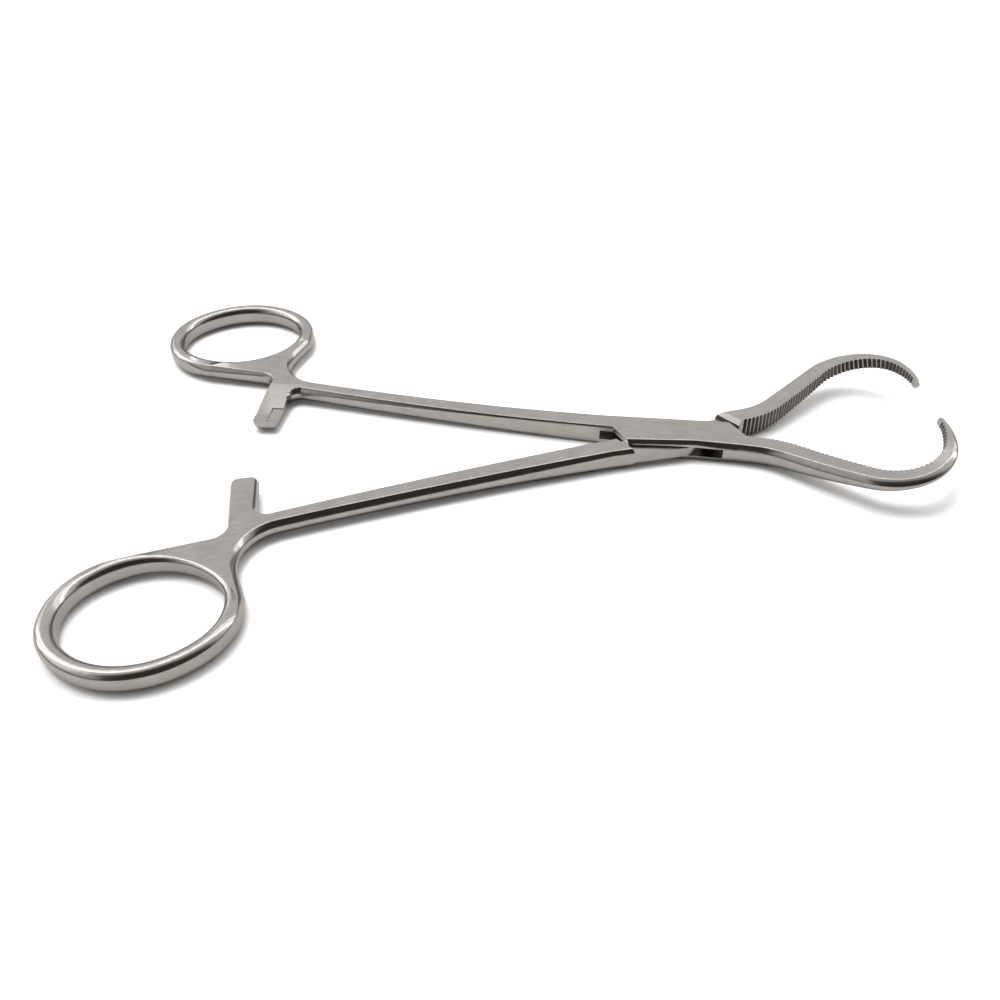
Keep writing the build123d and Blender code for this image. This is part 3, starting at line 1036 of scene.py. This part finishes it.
    def _arm_relief(self) -> Object:
        """Makes what is milled off the arm, in a slope down to a flat, so that the other one passes it.

        Returns:
            The cutter.
        """
        outer, inner = self.arm_radius + self.arm_width, self.arm_radius - self.arm_width
        past, stop = self.arm_tip - PAST_DEGREES, self.arm_root - self.arm_stop
        tip = [self._polar(outer, past), self._polar(inner, past)]
        points = [self._polar(outer, stop), *tip, self._polar(inner, stop)]
        foot = self.arm_tip + math.degrees(self.arm_flat / self.arm_radius)
        flat = [self._polar(outer, foot), *tip, self._polar(inner, foot)]
        cut = self.middle - self.arm_side * self.arm_clearance / 2
        top = self.middle + self.arm_side * self.neck_height / 2
        layers = [(cut, flat), (top, points), (top + self.arm_side * CUT_PAST, points)]
        return stacked(f"{self.name}_relief", sorted(layers, key=lambda layer: layer[0]))

    def _serration_row(self, finish: Material) -> "NotchRow":
        """Lays out the V grooves straight across the gripping face.

        Args:
            finish: The milled steel in the grooves, whose dark colour is painted shade.

        Returns:
            The row.
        """
        count = int((self.jaw_length - self.groove_first) / self.groove_pitch)
        places, turns = [], []
        steps = count * 2
        for step in range(steps + 1):
            along = self.groove_first + (count - 1) * self.groove_pitch * step / steps
            here, heading = self._jaw_place(along)
            lift, slope = self._jaw_lift(here.x)
            ahead = Vector((math.cos(heading), -math.sin(heading), slope * math.cos(heading))).normalized()
            across = Vector((-math.sin(heading), -math.cos(heading), 0.0))
            up = ahead.cross(across) * -1
            places.append((here.x, -here.y, self.middle + lift))
            turns.append(Matrix((across, up.cross(across), up)).transposed())
        flare = self.groove_width / 2 * (1 + GROOVE_LEAD / self.groove_depth)
        vee = [(-GROOVE_LEAD, -flare), (self.groove_depth, 0.0), (-GROOVE_LEAD, flare)]
        cutter = stacked(f"{self.name}_vee", [(-self.lock_thickness, vee), (self.lock_thickness, vee)])
        line = chain(f"{self.name}_grip_line", places, turns)
        return NotchRow("serration", line, cutter, count, finish)

    def _ratchet_row(self, finish: Material) -> "NotchRow":
        """Lays out the saw notches along the arm's inner edge.

        Args:
            finish: The steel in the notches.

        Returns:
            The row.
        """
        side = self.arm_side
        face = self.middle - side * self.arm_clearance / 2
        step = math.degrees(self.tooth_pitch / self.arm_radius)
        first = self.arm_tip + math.degrees(self.tooth_start / self.arm_radius)
        radius = self.arm_radius - self.arm_width / 2 + self.tooth_length
        places, turns = [], []
        for tooth in range(self.tooth_count):
            bearing = first + tooth * step
            places.append((*self._polar(radius, bearing), face))
            turns.append(Matrix.Rotation(-math.radians(bearing), 3, "Z"))
        pitch = self.tooth_pitch
        saw = [(0.0, side), (0.0, -side * self.tooth_depth), (pitch, 0.0), (pitch, side)]
        ends = (0.0, self.tooth_length + CUT_PAST)
        cutter = lofted(f"{self.name}_saw", [[(x, y, z) for y, z in saw] for x in ends])
        line = chain(f"{self.name}_tooth_line", places, turns)
        return NotchRow("ratchet", line, cutter, self.tooth_count, finish)


@dataclass
class NotchRow:
    """A row of equal notches, cut by one cutter at even steps along a line."""

    name: str
    path: Object
    cutter: Object
    count: int
    # The material of the cut faces; in the grip's grooves it is the milled steel darkened with painted shade.
    notch_material: Material

    def add_to(self, piece: Object) -> None:
        """Cuts the row into a piece with Geometry Nodes.

        Args:
            piece: The piece.
        """
        self.cutter.data.materials.append(self.notch_material)
        tree = self._tree()
        cut = piece.modifiers.new(self.name, "NODES")
        cut.node_group = tree
        values = {
            "Line": self.path,
            "Cutter": self.cutter,
            "Count": self.count,
            "Notch material": self.notch_material,
        }
        for item in tree.interface.items_tree:
            if item.name in values:
                cut[item.identifier] = values[item.name]

    def _tree(self) -> NodeTree:
        """Builds the node tree: even points on the line, a cutter on each, and one cut.

        Returns:
            The tree, with every size and object as a named input.
        """
        tree = bpy.data.node_groups.new(f"{self.name}_notches", "GeometryNodeTree")
        sockets = {
            "Geometry": "NodeSocketGeometry",
            "Line": "NodeSocketObject",
            "Cutter": "NodeSocketObject",
            "Count": "NodeSocketInt",
            "Notch material": "NodeSocketMaterial",
        }
        for name, kind in sockets.items():
            tree.interface.new_socket(name, in_out="INPUT", socket_type=kind)
        tree.interface.new_socket("Geometry", in_out="OUTPUT", socket_type="NodeSocketGeometry")
        given = add_node(tree, "NodeGroupInput").outputs
        line = add_node(tree, "GeometryNodeObjectInfo", {"Object": given["Line"]})
        curve = add_node(tree, "GeometryNodeMeshToCurve", {"Mesh": line.outputs["Geometry"]})
        links = {"Curve": curve.outputs[0], "Count": given["Count"]}
        even = add_node(tree, "GeometryNodeResampleCurve", links)
        kind = {"data_type": "FLOAT_VECTOR"}
        turn = add_node(tree, "GeometryNodeInputNamedAttribute", {"Name": TURN_NAME}, **kind)
        cutter = add_node(tree, "GeometryNodeObjectInfo", {"Object": given["Cutter"]}).outputs["Geometry"]
        links = {"Points": even.outputs[0], "Instance": cutter, "Rotation": turn.outputs[0]}
        cutters = add_node(tree, "GeometryNodeInstanceOnPoints", links)
        links = {"Mesh 1": given["Geometry"], "Mesh 2": cutters.outputs[0]}
        how = {"operation": "DIFFERENCE", "solver": "EXACT"}
        cut = add_node(tree, "GeometryNodeMeshBoolean", links, **how)
        real = add_node(tree, "GeometryNodeRealizeInstances", {"Geometry": cut.outputs[0]})
        notch = add_node(tree, "GeometryNodeMaterialSelection", {"Material": given["Notch material"]})
        links = {"Geometry": real.outputs[0], "Selection": notch.outputs[0], "Material": given["Notch material"]}
        steel = add_node(tree, "GeometryNodeSetMaterial", links)
        add_node(tree, "NodeGroupOutput", {"Geometry": steel.outputs[0]})
        return tree


@dataclass
class PivotPin:
    """The rivet that the halves turn on, its heads ground flush in their countersinks."""

    sizes: ForgedHalf
    body: str = "box_side"
    dish: float = 0.02

    @staticmethod
    def profile(sizes: ForgedHalf, past: float) -> list[Pair]:
        """The rivet's half section, as radius and height.

        Args:
            sizes: The half that holds the pin's sizes.
            past: How far the ends run past the lock's faces.

        Returns:
            Points from the lower end to the upper one.
        """
        top, head = sizes.lock_thickness, sizes.pin_head_radius
        points = [(head, -past)] if past else []
        points += [
            (head, 0.0),
            (sizes.pin_radius, sizes.pin_head_height),
            (sizes.pin_radius, top - sizes.pin_head_height),
            (head, top),
        ]
        return points + ([(head, top + past)] if past else [])

    def build(self, finish: Material) -> Object:
        """Makes the pin as one mesh that stands for its CAD node.

        Args:
            finish: The steel it is made of.

        Returns:
            The finished piece.
        """
        blank = turned("pivot_pin_blank", self.profile(self.sizes, 0.0), self.dish)
        blank.data.materials.append(finish)
        piece = baked(blank, "ground_pivot_pin", False)
        bpy.data.objects.remove(blank)
        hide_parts("pivot_pin")
        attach(piece, self.body)
        LOG.info("ground_pivot_pin: %d faces", len(piece.data.polygons))
        return piece


def inside(loop: list[Vector], point: Vector) -> bool:
    """Says whether a plan point lies inside a closed line.

    Args:
        loop: The line's points.
        point: The point.

    Returns:
        True for a point inside.
    """
    within = False
    for start, end in zip(loop, loop[1:] + loop[:1]):
        if (start.y > point.y) != (end.y > point.y):
            crossing = start.x + (point.y - start.y) / (end.y - start.y) * (end.x - start.x)
            within ^= point.x < crossing
    return within


def as_object(mesh: BMesh, name: str) -> Object:
    """Turns a bmesh into an object of the scene and frees it.

    Args:
        mesh: The mesh, which can't be used afterwards.
        name: The object's name.

    Returns:
        The object.
    """
    data = bpy.data.meshes.new(name)
    mesh.to_mesh(data)
    mesh.free()
    return placed(name, data)


def stacked(name: str, layers: list[tuple[float, list]]) -> Object:
    """Joins outlines of equal length, each at its height, into a closed solid.

    Args:
        name: The object's name.
        layers: Heights and their outlines, from the lowest.

    Returns:
        The solid.
    """
    return lofted(name, [[(point[0], point[1], height) for point in points] for height, points in layers])


def lofted(name: str, sections: list[list[Triple]]) -> Object:
    """Joins sections of equal length into a closed solid.

    Args:
        name: The object's name.
        sections: The points of each section, in order.

    Returns:
        The solid.
    """
    mesh = bmesh.new()
    rows = [[mesh.verts.new(point) for point in points] for points in sections]
    for lower, upper in zip(rows, rows[1:]):
        for i in range(len(lower)):
            j = (i + 1) % len(lower)
            mesh.faces.new((lower[i], lower[j], upper[j], upper[i]))
    mesh.faces.new(rows[0][::-1])
    mesh.faces.new(rows[-1])
    bmesh.ops.recalc_face_normals(mesh, faces=mesh.faces)
    return as_object(mesh, name)


def turned(name: str, profile: list[Pair], dish: float = 0.0) -> Object:
    """Turns a half section about the pin's axis into a closed solid.

    Args:
        name: The object's name.
        profile: Radius and height of each point, from the lowest.
        dish: How far the middle of each end lies under its rim.

    Returns:
        The solid.
    """
    mesh = bmesh.new()
    rings = []
    for radius, height in profile:
        angles = [2 * math.pi * step / TURNED_STEPS for step in range(TURNED_STEPS)]
        rings.append([mesh.verts.new((radius * math.cos(a), radius * math.sin(a), height)) for a in angles])
    ends = [mesh.verts.new((0, 0, profile[0][1] + dish)), mesh.verts.new((0, 0, profile[-1][1] - dish))]
    for i in range(TURNED_STEPS):
        j = (i + 1) % TURNED_STEPS
        for lower, upper in zip(rings, rings[1:]):
            mesh.faces.new((lower[i], lower[j], upper[j], upper[i]))
        mesh.faces.new((ends[0], rings[0][j], rings[0][i]))
        mesh.faces.new((ends[1], rings[-1][i], rings[-1][j]))
    bmesh.ops.recalc_face_normals(mesh, faces=mesh.faces)
    return as_object(mesh, name)


def chain(name: str, places: list[Triple], turns: list[Matrix]) -> Object:
    """Makes a line of points that each carry a turn, for a row of notches to follow.

    Args:
        name: The object's name.
        places: The points.
        turns: The rotation of a cutter at each point.

    Returns:
        The line.
    """
    data = bpy.data.meshes.new(name)
    data.from_pydata(places, [(i, i + 1) for i in range(len(places) - 1)], [])
    attribute = data.attributes.new(TURN_NAME, "FLOAT_VECTOR", "POINT")
    last = turns[0].to_euler()
    for entry, turn in zip(attribute.data, turns):
        last = turn.to_euler("XYZ", last)
        entry.vector = last
    return placed(name, data)


def evaluated(piece: Object) -> Mesh:
    """Makes a mesh of an object as its modifiers leave it."""
    return bpy.data.meshes.new_from_object(piece.evaluated_get(bpy.context.evaluated_depsgraph_get()))


def baked(blank: Object, name: str, mirrored: bool) -> Object:
    """Applies a blank's modifiers, in millimetres, and makes the finished piece of it, in metres.

    Args:
        blank: The object with its modifiers.
        name: The finished piece's name.
        mirrored: Whether the piece is the blank's mirror image about the X axis.

    Returns:
        The finished piece, with smooth rounds and crisp edges.
    """
    made = evaluated(blank)
    mesh = bmesh.new()
    mesh.from_mesh(made)
    bmesh.ops.remove_doubles(mesh, verts=mesh.verts, dist=WELD)
    bmesh.ops.scale(mesh, vec=(MM, -MM if mirrored else MM, MM), verts=mesh.verts)
    bmesh.ops.recalc_face_normals(mesh, faces=mesh.faces)
    mesh.to_mesh(made)
    mesh.free()
    for polygon in made.polygons:
        polygon.use_smooth = True
    made.set_sharp_from_angle(angle=math.radians(CREASE_DEGREES))
    piece = placed(name, made)
    weigh = piece.modifiers.new("flats", "WEIGHTED_NORMAL")
    weigh.keep_sharp = True
    weighed = evaluated(piece)
    piece.modifiers.clear()
    piece.data = weighed
    weighed.name = name
    return piece


class Grain(Enum):
    """Which way the satin brushing runs, in degrees from the X axis, along each half's length."""

    SLOTTED_HALF = -14.0
    TONGUE_HALF = 14.0
    GROUND_FLAT = 0.0


@dataclass(frozen=True)
class SatinSteel:
    """Stainless instrument steel, ground and satin brushed: soft, grey, streaked reflections.

    Sizes of the grain are in millimetres. A span is the part of the noise that a ramp runs over.
    """

    name: str
    grain: Grain
    colour: str = "#bab7b4"
    dull_colour: str = "#a9a6a3"
    roughness: Pair = (0.15, 0.27)
    streak_length: float = 5.0
    streak_width: float = 0.16
    cloud_size: float = 4.0
    cloud_share: float = 0.35
    tint_span: Pair = (0.35, 0.6)
    rough_span: Pair = (0.3, 0.7)
    scratch_height: float = 0.004
    scratch_strength: float = 0.5
    detail: float = 3.0

    def build(self) -> Material:
        """Makes the material.

        Returns:
            The material, ready for a piece.
        """
        material = bpy.data.materials.new(self.name)
        material.use_nodes = True
        tree = material.node_tree
        tree.nodes.clear()
        place = add_node(tree, "ShaderNodeTexCoord").outputs["Object"]
        streaks = self._noise(tree, place, (self.streak_length, self.streak_width, self.streak_width))
        clouds = self._noise(tree, place, (self.cloud_size,) * 3)
        links = {"Factor": self.cloud_share, "A": streaks, "B": clouds}
        both = add_node(tree, "ShaderNodeMix", links, data_type="FLOAT").outputs[0]
        tint = add_node(tree, "ShaderNodeValToRGB", {"Fac": both})
        colours = (self.dull_colour, self.colour)
        for element, colour, at in zip(tint.color_ramp.elements, colours, self.tint_span):
            element.color, element.position = linear(colour), at
        links = {"Height": streaks, "Strength": self.scratch_strength, "Distance": self.scratch_height * MM}
        bump = add_node(tree, "ShaderNodeBump", links)
        links = {
            "Base Color": tint.outputs[0],
            "Metallic": 1.0,
            "Roughness": add_ramp(tree, both, self.rough_span, self.roughness[::-1], "LINEAR"),
            "Normal": bump.outputs[0],
        }
        metal = add_node(tree, "ShaderNodeBsdfPrincipled", links)
        add_node(tree, "ShaderNodeOutputMaterial", {"Surface": metal.outputs[0]})
        return material

    def _noise(self, tree: NodeTree, place: NodeSocket, grain: Triple) -> NodeSocket:
        """Adds noise whose grains have a size in millimetres along, across and up.

        Args:
            tree: The material's tree.
            place: The coordinates, in metres.
            grain: The grain's size each way.

        Returns:
            The noise's strength, from 0 to 1.
        """
        links = {"Vector": place, "Rotation": (0.0, 0.0, -math.radians(self.grain.value))}
        turn = add_node(tree, "ShaderNodeMapping", links)
        links = {"Vector": turn.outputs[0], "Scale": tuple(1 / (size * MM) for size in grain)}
        sized = add_node(tree, "ShaderNodeMapping", links)
        links = {"Vector": sized.outputs[0], "Scale": 1.0, "Detail": self.detail}
        return add_node(tree, "ShaderNodeTexNoise", links).outputs[0]


def main() -> None:
    """Builds the scene round the frame."""
    logging.basicConfig(level=logging.INFO, format="%(message)s")
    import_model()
    bpy.context.scene.view_settings.view_transform = "Standard"
    PhotoCamera().build()
    Studio().build()
    slotted = ForgedHalf("slotted_half_forging", "box_half", "box_side", mirrored=False, jaw_root_slim=1.0)
    tongued = ForgedHalf("tongue_half_forging", "tongue_half", "tongue_side", mirrored=True)
    # Gives the eye dark grooves between the bright teeth, and the dark wall under the shoulder: a rougher
    # milled steel whose dark colour is painted shade.
    milled_painted_shade = SatinSteel(
        "milled_steel_painted_shade",
        Grain.GROUND_FLAT,
        colour="#6a6764",
        dull_colour="#474542",
        roughness=(0.34, 0.44),
    ).build()
    # Gives the eye soft grey reflections, with fine streaks along each half.
    slotted.build(SatinSteel("satin_steel_slotted_half", Grain.SLOTTED_HALF).build(), milled_painted_shade)
    tongued.build(SatinSteel("satin_steel_tongue_half", Grain.TONGUE_HALF).build(), milled_painted_shade)
    # Gives the eye a flush end that hardly shows, with its streaks along the lock.
    PivotPin(slotted).build(SatinSteel("ground_steel_pin", Grain.GROUND_FLAT).build())


if __name__ == "__main__":
    main()
